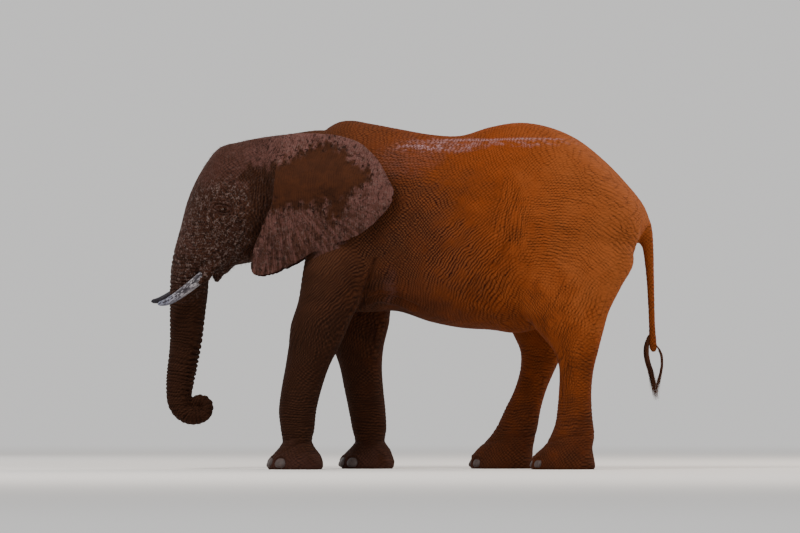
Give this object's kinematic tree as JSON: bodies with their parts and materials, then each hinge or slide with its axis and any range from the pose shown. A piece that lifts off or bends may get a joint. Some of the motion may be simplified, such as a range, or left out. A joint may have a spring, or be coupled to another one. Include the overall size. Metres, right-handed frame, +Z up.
{
  "type": "african elephant figure",
  "caption": "Life-size still model of an african elephant standing on its own feet, with spread ears, short tusks, a hanging trunk curled at the tip and a tufted tail.",
  "frame": {"origin": "centre of the bounding box's bottom face, on the floor between the feet", "axes": "+X towards the tail, so the animal faces -X; +Y towards its right side; +Z up"},
  "size_m": [3.9554, 1.1898, 2.6834],
  "materials": {
    "hide": "matte, wrinkled, dusty",
    "ivory": "satin, weathered",
    "nail": "matte horn",
    "eye": "wet gloss",
    "hair": "coarse hair"
  },
  "bodies": {
    "root": {"torso": "hide", "neck": "hide", "head": "hide", "lower_jaw": "hide", "trunk_upper": "hide", "trunk_middle": "hide", "trunk_lower": "hide", "trunk_tip": "hide", "tail": "hide", "ear_left": "hide", "ear_right": "hide", "foreleg_left_upper": "hide", "foreleg_left_lower": "hide", "forefoot_left": "hide", "foreleg_right_upper": "hide", "foreleg_right_lower": "hide", "forefoot_right": "hide", "hindleg_left_upper": "hide", "hindleg_left_lower": "hide", "hindfoot_left": "hide", "hindleg_right_upper": "hide", "hindleg_right_lower": "hide", "hindfoot_right": "hide", "tail_tuft": "hair", "eye_left": "eye", "tusk_left": "ivory", "eye_right": "eye", "tusk_right": "ivory", "nail_forefoot_left_1": "nail", "nail_forefoot_left_2": "nail", "nail_forefoot_left_3": "nail", "nail_forefoot_left_4": "nail", "nail_forefoot_right_1": "nail", "nail_forefoot_right_2": "nail", "nail_forefoot_right_3": "nail", "nail_forefoot_right_4": "nail", "nail_hindfoot_left_1": "nail", "nail_hindfoot_left_2": "nail", "nail_hindfoot_left_3": "nail", "nail_hindfoot_right_1": "nail", "nail_hindfoot_right_2": "nail", "nail_hindfoot_right_3": "nail"}
  },
  "joints": []
}
